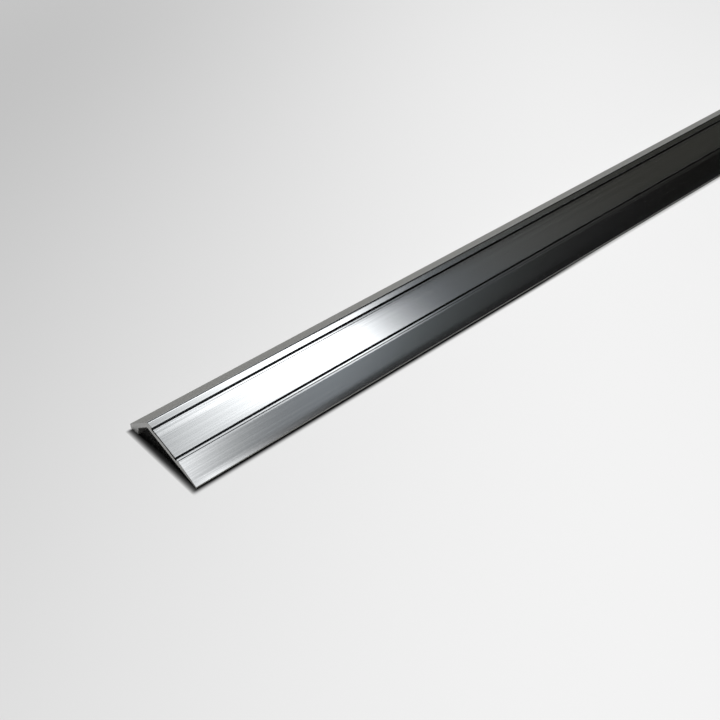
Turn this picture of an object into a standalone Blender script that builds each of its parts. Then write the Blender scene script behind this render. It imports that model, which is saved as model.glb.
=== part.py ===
"""Ramp-shaped tile edge trim: one bar of extruded aluminium, seen in section as an uneven roof.

A steep back web runs from the ridge down to a thick foot. A long ramp falls the other way,
with two grooves in its face, and breaks into a steeper nose that thins out to the floor.
Metres, +Z up. The bar runs along X, its ramp falls towards -Y, and it lies on Z = 0.
"""

from math import atan2, ceil, cos, radians, sin, tan

import bmesh
import bpy
from mathutils import Vector

# The bar
LENGTH = 1.000
RIDGE_HEIGHT = 0.01016

# The ramp in front of the ridge: a raised land, a wide field, and an apron above the nose
RAMP_SLOPE = radians(18.0)
RAMP_WALL = 0.00210
LAND_STEP = 0.00034
APRON_STEP = 0.00012

# The nose below the ramp: a flat stretch, then one that curls over towards the tip
NOSE_SLOPE = radians(27.0)
TIP_SLOPE = radians(33.0)
CURL_LENGTH = 0.0030
TIP_HEIGHT = 0.00038
TIP_LAND = 0.00020

# The web behind the ridge and the foot that it stands on
BACK_SLOPE = radians(36.33)
BACK_WALL = 0.00170
FOOT_WIDTH = 0.00426
FOOT_EDGE = 0.00165
FOOT_LEAN = radians(14.0)

# The two grooves, each with a hair-fine score line on its downhill side
RIDGE_TO_GROOVE = 0.00278
GROOVE_TO_NOSE = 0.00175
GROOVE_WIDTH = 0.00078
GROOVE_FLOOR = 0.00030
GROOVE_DEPTH = 0.00080
GROOVE_TO_SCORE = 0.00107
SCORE_WIDTH = 0.00028
SCORE_DEPTH = 0.00014

# Corner radii of the die
RIDGE_RADIUS = 0.00137
BREAK_RADIUS = 0.00040
TIP_RADIUS = 0.00016
FOOT_RADIUS = 0.00025
CROOK_RADIUS = 0.00090
LIP_RADIUS = 0.00006

# How finely the curves are drawn, and the bend from which an edge shows as a crease
ARC_STEP = radians(9.0)
CURL_STEPS = 6
CREASE_FROM = radians(12.0)


def polar(angle, distance):
    """A step in the section plane, by its angle above the forward direction."""
    return Vector((distance * cos(angle), distance * sin(angle)))


def meet(start, angle, other, other_angle):
    """The point where two sloping lines cross, each given by a point and its angle."""
    a, b = polar(angle, 1.0), polar(other_angle, 1.0)
    gap = other - start
    return start + a * (gap.cross(b) / a.cross(b))


def rounded(before, corner, after, radius):
    """The arc that takes a corner off an outline, tangent to both of its sides."""
    to_before = (before - corner).normalized()
    to_after = (after - corner).normalized()
    half = to_before.angle(to_after) / 2
    middle = corner + (to_before + to_after).normalized() * (radius / sin(half))
    first = corner + to_before * (radius / tan(half)) - middle
    last = corner + to_after * (radius / tan(half)) - middle
    start = atan2(first.y, first.x)
    turn = first.angle_signed(last) * -1.0
    steps = max(1, ceil(abs(turn) / ARC_STEP))
    return [middle + polar(start + turn * i / steps, radius) for i in range(steps + 1)]


def groove(centre, drop, along, outward):
    """A groove with slightly drawn-in walls, whose downhill lip lies a little lower."""
    half, floor_half = GROOVE_WIDTH / 2, GROOVE_FLOOR / 2
    floor = centre - outward * GROOVE_DEPTH
    return [
        (centre + along * half - outward * drop, LIP_RADIUS),
        (floor + along * floor_half, 0.0),
        (floor - along * floor_half, 0.0),
        (centre - along * half, LIP_RADIUS),
    ]


def score(centre, along, outward):
    """A shallow vee that shades the lower lip of a groove."""
    return [
        (centre + along * SCORE_WIDTH / 2, 0.0),
        (centre - outward * SCORE_DEPTH, 0.0),
        (centre - along * SCORE_WIDTH / 2, 0.0),
    ]


def nose(tip_top):
    """The curled stretch, from the tip upwards, as a chain of short chords."""
    points, spot = [], tip_top.copy()
    for i in range(CURL_STEPS):
        share = (i + 0.5) / CURL_STEPS
        slope = TIP_SLOPE + (NOSE_SLOPE - TIP_SLOPE) * share
        spot = spot - polar(-slope, CURL_LENGTH / CURL_STEPS)
        points.append(spot.copy())
    return points


def outline():
    """The section's corners with their radii, anticlockwise from the tip. X is forward, Y is up."""
    ridge = Vector((0.0, RIDGE_HEIGHT))
    along = polar(-RAMP_SLOPE, 1.0)
    outward = Vector((-along.y, along.x))
    floor = Vector((0.0, 0.0))

    # The ramp's three faces step down at the grooves: each of these points lies on one face
    field = ridge - outward * LAND_STEP
    apron = field - outward * APRON_STEP

    # Undersides of the ramp and of the back web, one wall below their faces
    ramp_under = field - outward * RAMP_WALL
    back_under = ridge - Vector((-sin(BACK_SLOPE), cos(BACK_SLOPE))) * BACK_WALL
    crook = meet(ramp_under, -RAMP_SLOPE, back_under, BACK_SLOPE)
    touch = meet(ramp_under, -RAMP_SLOPE, floor, 0.0)

    # The nose rises from the tip until it meets the apron
    tip = touch + Vector((TIP_LAND, 0.0))
    tip_top = tip + Vector((0.0, TIP_HEIGHT))
    curl = nose(tip_top)
    break_line = meet(curl[-1], -NOSE_SLOPE, apron, -RAMP_SLOPE)

    # The foot stands under the lower end of the back web
    heel_top = meet(ridge, BACK_SLOPE, Vector((0.0, FOOT_EDGE)), 0.0)
    heel = Vector((heel_top.x, 0.0))
    toe = heel + Vector((FOOT_WIDTH, 0.0))
    toe_top = meet(toe, radians(90.0) - FOOT_LEAN, back_under, BACK_SLOPE)

    upper_groove = ridge + along * RIDGE_TO_GROOVE
    lower_groove = break_line - along * GROOVE_TO_NOSE + outward * APRON_STEP
    corners = [(tip, TIP_RADIUS), (tip_top, TIP_RADIUS)]
    corners += [(point, 0.0) for point in curl]
    corners.append((break_line, BREAK_RADIUS))
    for centre, drop in ((lower_groove, APRON_STEP), (upper_groove, LAND_STEP)):
        corners += score(centre + along * GROOVE_TO_SCORE - outward * drop, along, outward)
        corners += groove(centre, drop, along, outward)
    corners += [
        (ridge, RIDGE_RADIUS),
        (heel_top, FOOT_RADIUS),
        (heel, FOOT_RADIUS),
        (toe, FOOT_RADIUS),
        (toe_top, FOOT_RADIUS),
        (crook, CROOK_RADIUS),
        (touch, 0.0),
    ]
    return corners


def section_points():
    """The finished outline, with every corner drawn at its radius."""
    corners = outline()
    points = []
    for i, (corner, radius) in enumerate(corners):
        if radius > 0.0:
            before = corners[i - 1][0]
            after = corners[(i + 1) % len(corners)][0]
            points += rounded(before, corner, after, radius)
        else:
            points.append(corner)
    return points


def anodised_aluminium():
    """Bright-dipped aluminium with a clear anodised skin."""
    material = bpy.data.materials.new("anodised_aluminium")
    material.use_nodes = True
    surface = material.node_tree.nodes["Principled BSDF"]
    surface.inputs["Base Color"].default_value = (0.78, 0.79, 0.80, 1.0)
    surface.inputs["Metallic"].default_value = 1.0
    surface.inputs["Roughness"].default_value = 0.28
    return material


def extrude_bar(name, points):
    """Draws the section at one end of the bar and pushes it along X to the other."""
    forward = [point.x for point in points]
    middle = (min(forward) + max(forward)) / 2
    shape = bmesh.new()
    ring = [shape.verts.new((-LENGTH / 2, middle - p.x, p.y)) for p in points]
    end = shape.faces.new(ring)
    pushed = bmesh.ops.extrude_face_region(shape, geom=[end], use_keep_orig=True)
    moved = [item for item in pushed["geom"] if isinstance(item, bmesh.types.BMVert)]
    bmesh.ops.translate(shape, verts=moved, vec=(LENGTH, 0.0, 0.0))
    bmesh.ops.recalc_face_normals(shape, faces=shape.faces)
    mesh = bpy.data.meshes.new(name)
    shape.to_mesh(mesh)
    shape.free()
    mesh.shade_smooth()
    mesh.set_sharp_from_angle(angle=CREASE_FROM)
    bar = bpy.data.objects.new(name, mesh)
    bpy.context.scene.collection.objects.link(bar)
    return bar


def main():
    for item in list(bpy.data.objects):
        bpy.data.objects.remove(item)
    bar = extrude_bar("trim_bar", section_points())
    bar.data.materials.append(anodised_aluminium())


main()
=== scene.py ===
from math import atan2, ceil, degrees, radians

import bmesh
import bpy
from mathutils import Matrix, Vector


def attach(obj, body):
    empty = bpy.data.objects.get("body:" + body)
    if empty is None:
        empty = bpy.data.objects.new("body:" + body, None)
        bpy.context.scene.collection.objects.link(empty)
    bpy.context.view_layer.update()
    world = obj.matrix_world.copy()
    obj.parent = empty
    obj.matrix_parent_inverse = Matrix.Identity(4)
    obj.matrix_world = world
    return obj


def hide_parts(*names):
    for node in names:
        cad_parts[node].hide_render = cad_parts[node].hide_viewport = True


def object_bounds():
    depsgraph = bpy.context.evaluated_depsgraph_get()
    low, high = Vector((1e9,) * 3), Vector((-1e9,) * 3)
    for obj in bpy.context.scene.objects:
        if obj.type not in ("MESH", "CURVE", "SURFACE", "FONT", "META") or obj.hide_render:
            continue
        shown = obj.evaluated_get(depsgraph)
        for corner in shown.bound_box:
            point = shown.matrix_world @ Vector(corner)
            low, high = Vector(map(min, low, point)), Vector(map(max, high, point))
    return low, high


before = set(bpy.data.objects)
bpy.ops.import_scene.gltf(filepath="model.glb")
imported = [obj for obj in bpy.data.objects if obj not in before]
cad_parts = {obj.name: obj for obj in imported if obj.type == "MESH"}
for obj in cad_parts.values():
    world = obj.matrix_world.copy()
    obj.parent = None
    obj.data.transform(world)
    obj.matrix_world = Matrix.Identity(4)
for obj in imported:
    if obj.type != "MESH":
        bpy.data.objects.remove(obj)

cad_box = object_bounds()


# The trim bar is one length of aluminium alloy, pushed hot through a die that draws fine lines
# along it. Its ramp is buffed, bright-dipped and clear anodised. The grooves, the back and the
# underside keep the dull skin of the press, and both ends are sawn square. The grooves, the
# score lines and the tip's face are darkened with painted shade.

near_end, tip_edge = cad_box[0].x, cad_box[0].y
far_end, heel_edge = cad_box[1].x, cad_box[1].y

# Slopes in degrees that tell the faces apart. What rises less than this is ramp and not nose.
RAMP_BELOW = 22.5
# Behind the ridge, the wheel stops at the first face that falls more than this
DULL_FROM = 27.5
# What falls or rises more than this is the wall of a groove
WALL_FROM = 38.0
# What rises between these two, and is longer than FLANK, is the uphill flank of a score line
SCORE_FROM = 58.0
SCORE_TO = 80.0
FLANK = 0.0001
# Up to the first height the tip's face gets the same painted shade as a groove, and up to the second
# its edge is left dull
TIP_SHADED_FACE = 0.0002
TIP_DULL = 0.00045
# The saw leaves a hair of a chamfer round each end
SAW_CHAMFER = 0.00012
# How far the wheel crowns the nose and the ramp. A power of two gives an even bow, and a
# higher one leaves the middle flatter and rounds off the edges more.
NOSE_CROWN = 0.00003
NOSE_POWER = 2.0
RAMP_CROWN = 0.00009
RAMP_POWER = 3.7
# The crowned faces are cut into strips no wider than this, and sharper bends stay creases
STRIP = 0.00016
CREASE_FROM = radians(15.0)
# What lies this close to the near end is on it, and to match places they are rounded
SAME_PLACE = 1e-6
DIGITS = 7
# The four finishes, numbered as the materials further down are added to the mesh
BUFFED, GROOVE_SHADE, MILL, SAWN = range(4)


def slope(run):
    """How steeply a face rises, in degrees, on the way from the tip over the top."""
    return degrees(atan2(run.y, run.x))


def section_of(node):
    """The border of the bar's near end as (across, up) points, from the tip over the top."""
    mesh = node.data
    near = min(v.co.x for v in mesh.vertices)
    places = [(round(v.co.y, DIGITS), round(v.co.z, DIGITS)) for v in mesh.vertices]
    uses = {}
    for face in mesh.polygons:
        ids = list(face.vertices)
        if all(abs(mesh.vertices[i].co.x - near) < SAME_PLACE for i in ids):
            for a, b in zip(ids, ids[1:] + ids[:1]):
                pair = frozenset((places[a], places[b]))
                uses[pair] = uses.get(pair, 0) + 1
    neighbours = {}
    for a, b in (tuple(pair) for pair in uses if uses[pair] == 1):
        neighbours.setdefault(a, []).append(b)
        neighbours.setdefault(b, []).append(a)
    ring = [min(neighbours)]
    ring.append(max(neighbours[ring[0]], key=lambda place: place[1]))
    while True:
        after = next(place for place in neighbours[ring[-1]] if place != ring[-2])
        if after == ring[0]:
            return [Vector(place) for place in ring]
        ring.append(after)


def buffed(flat):
    """The section as the buffing wheel leaves it, with its nose and its ramp slightly crowned."""
    crest = max(range(len(flat)), key=lambda i: flat[i].y)
    top = [flat[0]]
    for a, b in zip(flat[:crest], flat[1:crest + 1]):
        cuts = max(1, ceil((b - a).length / STRIP))
        top += [a + (b - a) * i / cuts for i in range(1, cuts + 1)]
    rises = [slope(b - a) for a, b in zip(top, top[1:])]
    tip = top[0].x
    brow = top[next(i for i, rise in enumerate(rises) if 0 < rise < RAMP_BELOW)].x
    lip = top[max(i for i, rise in enumerate(rises) if rise < -WALL_FROM <= rises[i - 1])].x
    crowns = ((tip, brow, NOSE_CROWN, NOSE_POWER), (brow, lip, RAMP_CROWN, RAMP_POWER))
    for corner in top:
        for low, high, crown, power in crowns:
            if low <= corner.x <= high:
                corner.y += crown * (1 - abs(2 * (corner.x - low) / (high - low) - 1) ** power)
    return top + flat[crest + 1:]


def finishes_round(section):
    """The finish of each face round the bar. The grooves, score lines and tip aren't buffed, and the
    grooves, score lines and tip's face get a dark finish of painted shade.
    """
    crest = max(range(len(section)), key=lambda i: section[i].y)
    finishes, in_groove = [], False
    for i, corner in enumerate(section):
        run = section[(i + 1) % len(section)] - corner
        rise = slope(run)
        if i > crest:
            still_buffed = rise > -DULL_FROM and finishes[-1] == BUFFED
            finishes.append(BUFFED if still_buffed else MILL)
            continue
        in_groove = in_groove or rise < -WALL_FROM
        in_score = SCORE_FROM < rise < SCORE_TO and run.length > FLANK
        if in_groove or in_score or corner.y < TIP_SHADED_FACE:
            finishes.append(GROOVE_SHADE)
        else:
            finishes.append(MILL if corner.y < TIP_DULL else BUFFED)
        in_groove = in_groove and rise < WALL_FROM
    return finishes


section = buffed(section_of(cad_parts["trim_bar"]))
finishes = finishes_round(section)

# The outline that the saw's chamfer leaves on each end, and the way round the section
pulled_in = []
path = [0.0]
for i, corner in enumerate(section):
    after = section[(i + 1) % len(section)]
    side = (after - section[i - 1]).normalized()
    pulled_in.append(corner + Vector((side.y, -side.x)) * SAW_CHAMFER)
    path.append(path[-1] + (after - corner).length)

shape = bmesh.new()
unrolled = shape.loops.layers.uv.new("across_and_along")
rings = []
for x, outline in (
    (near_end, pulled_in),
    (near_end + SAW_CHAMFER, section),
    (far_end - SAW_CHAMFER, section),
    (far_end, pulled_in),
):
    rings.append([shape.verts.new((x, corner.x, corner.y)) for corner in outline])
for near, far in zip(rings, rings[1:]):
    for i, finish in enumerate(finishes):
        j = (i + 1) % len(section)
        face = shape.faces.new((near[i], near[j], far[j], far[i]))
        face.smooth = True
        face.material_index = finish if near is rings[1] else SAWN
        for loop in face.loops:
            step = i if loop.vert in (near[i], far[i]) else i + 1
            loop[unrolled].uv = (path[step], loop.vert.co.x)
for ring in (rings[0], rings[-1]):
    shape.faces.new(ring).material_index = SAWN
bmesh.ops.recalc_face_normals(shape, faces=shape.faces)
bar_mesh = bpy.data.meshes.new("trim_profile")
shape.to_mesh(bar_mesh)
shape.free()
bar_mesh.set_sharp_from_angle(angle=CREASE_FROM)
bar = bpy.data.objects.new("trim_profile", bar_mesh)
bpy.context.scene.collection.objects.link(bar)
flats = bar.modifiers.new("flats_stay_flat", "WEIGHTED_NORMAL")
flats.keep_sharp = True


def linear(hex_colour):
    """A colour written as sRGB hex, as the linear values that shaders take."""
    parts = [int(hex_colour[i:i + 2], 16) / 255 for i in (0, 2, 4)]
    return tuple(p / 12.92 if p <= 0.04045 else ((p + 0.055) / 1.055) ** 2.4 for p in parts) + (1.0,)


def new_finish(mesh, name, metallic, roughness):
    """Adds a material to a mesh, and gives its node tree and its surface shader."""
    material = bpy.data.materials.new(name)
    material.use_nodes = True
    mesh.materials.append(material)
    surface = material.node_tree.nodes["Principled BSDF"]
    surface.inputs["Metallic"].default_value = metallic
    surface.inputs["Roughness"].default_value = roughness
    return material.node_tree, surface


def add(tree, kind, settings, links):
    """Adds a node, sets its properties and sockets, and links outputs of other nodes to it."""
    node = tree.nodes.new(kind)
    for key, value in settings.items():
        if isinstance(key, str) and hasattr(node, key):
            setattr(node, key, value)
        else:
            node.inputs[key].default_value = value
    for socket, (source, output) in links.items():
        tree.links.new(source.outputs[output], node.inputs[socket])
    return node


# Bright anodised aluminium: die lines and buffing run along the bar, so a light is smeared
# across it and stays sharp along it, and faint streaks follow its length. The finest of the
# real lines are too fine to show, so they are drawn as wide as they need to be seen.
STREAK_GREY = "C9CCCE"
STREAK_PALE = "FAFCFE"
# The width of the broad and of the fine lines, their length, and the fine ones' share of
# the relief
DIE_LINE = 0.0010
FINE_LINE = 0.00045
LINE_LENGTH = 0.20
FINE_SHARE = 0.50
# The noise seldom leaves this range, which is spread from the grey to the pale
NOISE_LOW = 0.36
NOISE_HIGH = 0.64
# The streaks gain strength from BAND_LOW to BAND_HIGH below the upper groove, and are strongest
# from there up to it and close to the near end. Elsewhere these shares of them are left.
BAND_LOW = 0.0060
BAND_HIGH = 0.0035
LEFT_FURTHER_DOWN = 0.24
LAND_WITHIN = 0.0002
LEFT_ON_LAND = 0.35
WEAKER_FROM = 0.01
WEAKER_TO = 0.10
LEFT_FURTHER_ALONG = 0.40
# The height of the lines' relief, and the share that is left of it past this distance
RIPPLE = 0.000014
RIPPLE_WITHIN = 0.05
RIPPLE_LEFT = 0.10

tree, surface = new_finish(bar_mesh, "bright_anodised_aluminium", 1.0, 0.144)
surface.inputs["Anisotropic"].default_value = 0.68
grain = add(
    tree, "ShaderNodeTangent", {"direction_type": "UV_MAP", "uv_map": "across_and_along"}, {},
)
tree.links.new(grain.outputs["Tangent"], surface.inputs["Tangent"])
uv = add(tree, "ShaderNodeUVMap", {"uv_map": "across_and_along"}, {})
place = add(tree, "ShaderNodeSeparateXYZ", {}, {0: (uv, "UV")})

patterns = []
for line in (DIE_LINE, FINE_LINE):
    scale = (1 / line, 1 / LINE_LENGTH, 1.0)
    scaled = add(tree, "ShaderNodeMapping", {"Scale": scale}, {"Vector": (uv, "UV")})
    patterns.append(add(
        tree, "ShaderNodeTexNoise", {"Scale": 1.0, "Detail": 1.0}, {"Vector": (scaled, "Vector")},
    ))
waves, lines = patterns

upper_groove = path[max(i for i, finish in enumerate(finishes) if finish == GROOVE_SHADE)]
in_band = add(
    tree, "ShaderNodeMapRange",
    {"From Min": upper_groove - BAND_LOW, "From Max": upper_groove - BAND_HIGH,
     "To Min": LEFT_FURTHER_DOWN, "To Max": 1.0},
    {"Value": (place, "X")},
)
on_land = add(
    tree, "ShaderNodeMapRange",
    {"From Min": upper_groove, "From Max": upper_groove + LAND_WITHIN,
     "To Min": 1.0, "To Max": LEFT_ON_LAND},
    {"Value": (place, "X")},
)
near_the_end = add(
    tree, "ShaderNodeMapRange",
    {"From Min": near_end + WEAKER_FROM, "From Max": near_end + WEAKER_TO,
     "To Min": 1.0, "To Max": LEFT_FURTHER_ALONG},
    {"Value": (place, "Y")},
)
strength = in_band
for share in (on_land, near_the_end):
    strength = add(
        tree, "ShaderNodeMath", {"operation": "MULTIPLY"}, {0: (strength, 0), 1: (share, 0)},
    )
contrast = add(
    tree, "ShaderNodeMapRange",
    {"From Min": NOISE_LOW, "From Max": NOISE_HIGH, "To Min": -0.5, "To Max": 0.5},
    {"Value": (lines, "Fac")},
)
streaks = add(
    tree, "ShaderNodeMath",
    {"operation": "MULTIPLY_ADD", 2: 0.5}, {0: (contrast, 0), 1: (strength, 0)},
)
colour = add(
    tree, "ShaderNodeMix",
    {"data_type": "RGBA", 6: linear(STREAK_GREY), 7: linear(STREAK_PALE)}, {0: (streaks, 0)},
)
tree.links.new(colour.outputs[2], surface.inputs["Base Color"])

height = add(tree, "ShaderNodeMix", {0: FINE_SHARE}, {2: (waves, "Fac"), 3: (lines, "Fac")})
depth = add(
    tree, "ShaderNodeMapRange",
    {"From Min": near_end, "From Max": near_end + RIPPLE_WITHIN,
     "To Min": 1.0, "To Max": RIPPLE_LEFT},
    {"Value": (place, "Y")},
)
relief = add(
    tree, "ShaderNodeBump",
    {"Distance": RIPPLE}, {"Strength": (depth, 0), "Height": (height, 0)},
)
tree.links.new(relief.outputs["Normal"], surface.inputs["Normal"])

# Unbuffed aluminium in the grooves, the score lines and the tip's face: the wheel never
# reaches it. Its colour is darkened with painted shade, so that it reads as a black line
tree, surface = new_finish(bar_mesh, "groove_aluminium_painted_shade", 1.0, 0.20)
surface.inputs["Base Color"].default_value = linear("404244")

# Mill-finish aluminium on the tip's edge, the back and the underside: a matt oxide grey that
# hardly mirrors anything
tree, surface = new_finish(bar_mesh, "mill_finish_aluminium", 0.92, 0.60)
surface.inputs["Base Color"].default_value = linear("B0B0AC")

# Sawn aluminium on the ends: bare metal with a coarse, dull cut
tree, surface = new_finish(bar_mesh, "sawn_aluminium", 1.0, 0.55)
surface.inputs["Base Color"].default_value = linear("B4B4B2")

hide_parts("trim_bar")
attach(bar, "root")


# The floor is a large flat sheet of matt paper. A pool of light is painted on it: pale in front of
# the bar, falling off softly to grey behind the near end, and even far away. A narrow strip of
# painted shade darkens it along the tip and the near end, and less so under the bar, as soft light
# leaves them too pale.

HALF_SIDE = 4.0
PAINTED_POOL = "EFEFEF"
PAINTED_FALLOFF = "BEBEBE"
EVEN = "DADADA"
# The painted light falls off to grey between these two distances from the bar's middle, in this
# direction
FALLOFF_WAY = (-0.612, 0.791, 0.0)
FALLOFF_FROM = 0.16
FALLOFF_TO = 0.50
# The painted light turns even between these two distances from a place 0.3 m past the near end
EVEN_ABOUT = (-0.80, 0.04, 0.0)
EVEN_FROM = 0.40
EVEN_TO = 1.20
# The painted shade before the tip: its width, the clear gap, and how quickly it deepens
FRONT_SHADE = 0.0024
FRONT_GAP = 0.0002
FRONT_POWER = 1.3
# Along the bar it falls to this share between these two distances from the near end
FALLS_FROM = 0.150
FALLS_TO = 0.205
SHADE_FURTHER_ON = 0.50
# The painted shade past the near end: its width, its strength, and how quickly it fades outwards
END_SHADE = 0.0023
END_STRENGTH = 0.96
END_POWER = 2.3
# Inside the near end it gains the rest of its strength between these two distances
INSIDE_FROM = 0.001
INSIDE_TO = 0.006
# Over these widths it ends before the heel and past the far end
HEEL_EDGE = 0.0012
FAR_EDGE = 0.002
# What it loses under the bar, and how far in from the tip that starts
UNDER_LOSS = 0.65
UNDER_FROM = 0.001

floor_mesh = bpy.data.meshes.new("floor")
corners = [(x * HALF_SIDE, y * HALF_SIDE, 0.0) for x, y in ((-1, -1), (1, -1), (1, 1), (-1, 1))]
floor_mesh.from_pydata(corners, [], [(0, 1, 2, 3)])
floor = bpy.data.objects.new("floor", floor_mesh)
bpy.context.scene.collection.objects.link(floor)

# Matt paper: it has no gloss, and shows its own grey with a painted pool of light and painted shade,
# and the shade that falls on it
tree, surface = new_finish(floor_mesh, "matt_paper", 0.0, 0.9)
surface.inputs["Specular IOR Level"].default_value = 0.1
position = add(tree, "ShaderNodeNewGeometry", {}, {})
place = add(tree, "ShaderNodeSeparateXYZ", {}, {0: (position, "Position")})

behind_end = add(
    tree, "ShaderNodeVectorMath",
    {"operation": "DOT_PRODUCT", 1: FALLOFF_WAY}, {0: (position, "Position")},
)
away = add(
    tree, "ShaderNodeVectorMath",
    {"operation": "DISTANCE", 1: EVEN_ABOUT}, {0: (position, "Position")},
)
painted_falloff = add(
    tree, "ShaderNodeMapRange",
    {"interpolation_type": "SMOOTHSTEP", "From Min": FALLOFF_FROM, "From Max": FALLOFF_TO},
    {"Value": (behind_end, "Value")},
)
evenness = add(
    tree, "ShaderNodeMapRange",
    {"interpolation_type": "SMOOTHSTEP", "From Min": EVEN_FROM, "From Max": EVEN_TO},
    {"Value": (away, "Value")},
)
# The paper's colour carries a painted pool of light that falls off to grey behind the near end
paper_with_painted_light = add(
    tree, "ShaderNodeMix",
    {"data_type": "RGBA", 6: linear(PAINTED_POOL), 7: linear(PAINTED_FALLOFF)}, {0: (painted_falloff, 0)},
)
paper_with_painted_light = add(
    tree, "ShaderNodeMix",
    {"data_type": "RGBA", 7: linear(EVEN)}, {0: (evenness, 0), 6: (paper_with_painted_light, 2)},
)

# The painted shade is the product of six shares: one for each of its four edges, one for how it
# falls along the bar, and one for what it loses under the bar
to_tip = add(
    tree, "ShaderNodeMapRange",
    {"interpolation_type": "SMOOTHSTEP",
     "From Min": tip_edge - FRONT_SHADE, "From Max": tip_edge - FRONT_GAP},
    {"Value": (place, "Y")},
)
to_tip = add(tree, "ShaderNodeMath", {"operation": "POWER", 1: FRONT_POWER}, {0: (to_tip, 0)})
along_bar = add(
    tree, "ShaderNodeMapRange",
    {"interpolation_type": "SMOOTHSTEP",
     "From Min": near_end + FALLS_FROM, "From Max": near_end + FALLS_TO,
     "To Min": 1.0, "To Max": SHADE_FURTHER_ON},
    {"Value": (place, "X")},
)
outwards = add(
    tree, "ShaderNodeMapRange",
    {"From Min": near_end - END_SHADE, "From Max": near_end, "To Min": 1.0, "To Max": 0.0},
    {"Value": (place, "X")},
)
outwards = add(tree, "ShaderNodeMath", {"operation": "POWER", 1: END_POWER}, {0: (outwards, 0)})
inside_end = add(
    tree, "ShaderNodeMapRange",
    {"From Min": near_end + INSIDE_FROM, "From Max": near_end + INSIDE_TO},
    {"Value": (place, "X")},
)
to_near_end = add(
    tree, "ShaderNodeMath",
    {"operation": "MULTIPLY_ADD", 1: -END_STRENGTH, 2: END_STRENGTH}, {0: (outwards, 0)},
)
to_near_end = add(
    tree, "ShaderNodeMath",
    {"operation": "MULTIPLY_ADD", 1: 1 - END_STRENGTH}, {0: (inside_end, 0), 2: (to_near_end, 0)},
)
to_heel = add(
    tree, "ShaderNodeMapRange",
    {"interpolation_type": "SMOOTHSTEP",
     "From Min": heel_edge, "From Max": heel_edge - HEEL_EDGE},
    {"Value": (place, "Y")},
)
behind_tip = add(
    tree, "ShaderNodeMath",
    {"operation": "GREATER_THAN", 1: tip_edge + UNDER_FROM}, {0: (place, "Y")},
)
under = add(
    tree, "ShaderNodeMath", {"operation": "MULTIPLY"}, {0: (behind_tip, 0), 1: (inside_end, 0)},
)
not_under = add(
    tree, "ShaderNodeMath",
    {"operation": "MULTIPLY_ADD", 1: -UNDER_LOSS, 2: 1.0}, {0: (under, 0)},
)
to_far_end = add(
    tree, "ShaderNodeMapRange",
    {"From Min": far_end + FAR_EDGE, "From Max": far_end},
    {"Value": (place, "X")},
)
painted_shade = to_tip
for part in (along_bar, to_near_end, to_heel, not_under, to_far_end):
    painted_shade = add(tree, "ShaderNodeMath", {"operation": "MULTIPLY"}, {0: (painted_shade, 0), 1: (part, 0)})
# The painted shade darkens the paper's colour towards black
ground = add(
    tree, "ShaderNodeMix",
    {"data_type": "RGBA", 7: linear("000000")}, {0: (painted_shade, 0), 6: (paper_with_painted_light, 2)},
)
tree.links.new(ground.outputs[2], surface.inputs["Base Color"])


# The light is one lamp high behind the bar, which the metal doesn't mirror. It mirrors a
# studio room instead: a bright window over the bar, black felt behind it and towards its
# far end, and soft grey for the rest.

# The direction that the lamp shines from
KEY_FROM = (0.0, 0.605, 0.796)

lamp = bpy.data.lights.new("key", "SUN")
lamp.energy = 3.88
lamp.angle = radians(12.0)
key = bpy.data.objects.new("key", lamp)
key.rotation_mode = "QUATERNION"
key.rotation_quaternion = Vector(KEY_FROM).to_track_quat("Z", "Y")
key.visible_glossy = False
bpy.context.scene.collection.objects.link(key)

# The even light that falls on matt surfaces, the brightest light in the room, and what the
# camera sees beyond the floor
AMBIENT = 0.06
FULL = 2.6
BACKDROP = "DDDDDD"

# The room is drawn as five strips that run along the bar. A stop holds a direction's lean
# towards the far end, and the red, green and blue of the light from there, where 1 is white.
# The stops are given so that each face is as bright as it should be.
OVERHEAD = (
    (0.30, 0.50, 0.50, 0.50),
    (0.35, 0.30, 0.30, 0.30),
    (0.38, 0.58, 0.59, 0.59),
    (0.42, 0.89, 0.90, 0.90),
    (0.54, 2.60, 2.60, 2.60),
    (0.565, 2.60, 2.60, 2.60),
    (0.583, 1.38, 1.39, 1.40),
    (0.605, 0.500, 0.510, 0.525),
    (0.635, 0.115, 0.124, 0.137),
    (0.70, 0.096, 0.097, 0.093),
    (0.80, 0.046, 0.045, 0.039),
    (1.00, 0.026, 0.026, 0.022),
)
FRONT = (
    (0.30, 1.20, 1.20, 1.20),
    (0.33, 1.22, 1.22, 1.22),
    (0.36, 0.60, 0.60, 0.60),
    (0.39, 0.36, 0.37, 0.37),
    (0.43, 0.210, 0.220, 0.230),
    (0.49, 0.240, 0.260, 0.278),
    (0.535, 0.178, 0.192, 0.203),
    (0.57, 0.095, 0.104, 0.107),
    (0.61, 0.060, 0.066, 0.066),
    (0.66, 0.033, 0.034, 0.033),
    (0.72, 0.014, 0.014, 0.014),
    (0.80, 0.006, 0.006, 0.005),
)
LOW = (
    (0.30, 0.45, 0.45, 0.45),
    (0.335, 0.45, 0.45, 0.45),
    (0.355, 1.90, 1.90, 1.90),
    (0.38, 0.72, 0.72, 0.72),
    (0.42, 0.173, 0.173, 0.173),
    (0.50, 0.028, 0.028, 0.028),
    (0.60, 0.019, 0.019, 0.019),
    (0.70, 0.011, 0.011, 0.011),
)
BEHIND = (
    (0.42, 0.120, 0.120, 0.120),
    (0.54, 0.026, 0.026, 0.026),
    (0.60, 0.011, 0.011, 0.011),
    (0.78, 0.0015, 0.0015, 0.0015),
)
SIDES = (
    (0.30, 1.30, 1.30, 1.30),
    (0.45, 1.10, 1.10, 1.10),
    (0.52, 0.15, 0.15, 0.15),
    (0.56, 0.05, 0.05, 0.05),
    (0.80, 0.012, 0.012, 0.012),
)
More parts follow.
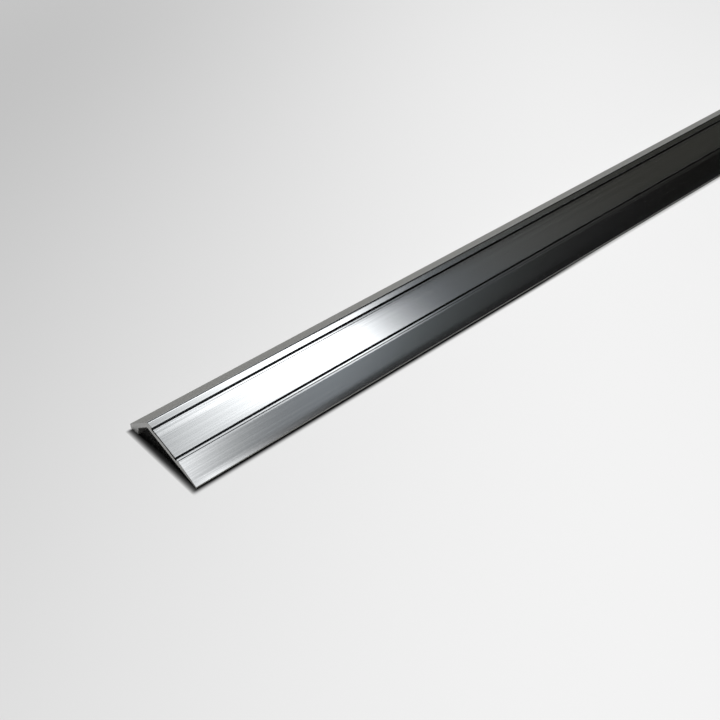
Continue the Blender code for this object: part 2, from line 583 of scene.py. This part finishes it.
# Three of the strips hang askew, so what lies at a lean changes from back to front: these are
# two angles from straight above, in degrees, and what is added to the lean at each
OVERHEAD_SHIFT = (-50.0, 10.0, 0.24, -0.048)
FRONT_SHIFT = (9.0, 16.0, -0.0225, 0.03)
LOW_SHIFT = (13.0, 20.0, 0.07, 0.0)

room = bpy.data.worlds.new("studio")
room.use_nodes = True
room.cycles.sampling_method = "NONE"
bpy.context.scene.world = room
tree = room.node_tree
tree.nodes.clear()
where = add(tree, "ShaderNodeTexCoord", {}, {})
axes = add(tree, "ShaderNodeSeparateXYZ", {}, {0: (where, "Generated")})

# The angle from straight above, in degrees: forward counts up, and backward counts down
forward = add(tree, "ShaderNodeMath", {"operation": "MULTIPLY", 1: -1.0}, {0: (axes, "Y")})
roll = add(tree, "ShaderNodeMath", {"operation": "ARCTAN2"}, {0: (forward, 0), 1: (axes, "Z")})
roll = add(tree, "ShaderNodeMath", {"operation": "DEGREES"}, {0: (roll, 0)})

strips = []
for stops, shift in (
    (OVERHEAD, OVERHEAD_SHIFT),
    (FRONT, FRONT_SHIFT),
    (LOW, LOW_SHIFT),
    (BEHIND, None),
    (SIDES, None),
):
    lean = (axes, "X")
    if shift:
        first_roll, last_roll, first_shift, last_shift = shift
        askew = add(
            tree, "ShaderNodeMapRange",
            {"From Min": first_roll, "From Max": last_roll,
             "To Min": first_shift, "To Max": last_shift},
            {"Value": (roll, 0)},
        )
        lean = (add(tree, "ShaderNodeMath", {"operation": "ADD"}, {0: lean, 1: (askew, 0)}), 0)
    strip = add(tree, "ShaderNodeValToRGB", {}, {"Fac": lean})
    while len(strip.color_ramp.elements) < len(stops):
        strip.color_ramp.elements.new(0.5)
    for stop, (place, *light) in zip(strip.color_ramp.elements, stops):
        stop.position = place
        stop.color = [part / FULL for part in light] + [1.0]
    strips.append(strip)
overhead, front, low, behind, sides = strips

# From behind to the front, each strip takes over from the one before it between two angles,
# and the sides close the room near the floor, in front and behind
seen = (behind, "Color")
for starts, ends, strip in (
    (-40.0, -32.0, overhead),
    (-6.6, 1.4, front),
    (12.9, 20.9, low),
    (75.0, 88.0, sides),
    (-85.0, -95.0, sides),
):
    taken_over = add(
        tree, "ShaderNodeMapRange",
        {"interpolation_type": "SMOOTHSTEP", "From Min": starts, "From Max": ends},
        {"Value": (roll, 0)},
    )
    mixed = add(
        tree, "ShaderNodeMix",
        {"data_type": "RGBA"}, {0: (taken_over, 0), 6: seen, 7: (strip, "Color")},
    )
    seen = (mixed, 2)

# Only mirrored rays see the room: matt surfaces get the even ambient light, and the camera
# sees the plain backdrop
ray = add(tree, "ShaderNodeLightPath", {}, {})
mirrored = add(tree, "ShaderNodeBackground", {"Strength": FULL}, {"Color": seen})
ambient = add(tree, "ShaderNodeBackground", {"Strength": AMBIENT, 0: linear("FFFFFF")}, {})
backdrop = add(tree, "ShaderNodeBackground", {"Strength": 1.0, 0: linear(BACKDROP)}, {})
soft = add(
    tree, "ShaderNodeMixShader",
    {}, {0: (ray, "Is Glossy Ray"), 1: (ambient, 0), 2: (mirrored, 0)},
)
shown = add(
    tree, "ShaderNodeMixShader",
    {}, {0: (ray, "Is Camera Ray"), 1: (soft, 0), 2: (backdrop, 0)},
)
add(tree, "ShaderNodeOutputWorld", {}, {"Surface": (shown, 0)})


# The camera stands past the bar's near end and in front of it, about 0.2 m above the floor,
# and looks down along the bar.

view = bpy.data.cameras.new("camera")
view.lens = 49.04
view.sensor_width = 36.0
view.clip_start = 0.01
camera = bpy.data.objects.new("camera", view)
camera.location = (-0.5981, -0.1951, 0.2078)
camera.rotation_euler = (radians(50.99), 0.0, radians(-42.44))
bpy.context.scene.collection.objects.link(camera)
bpy.context.scene.camera = camera
bpy.context.scene.view_settings.view_transform = "Standard"
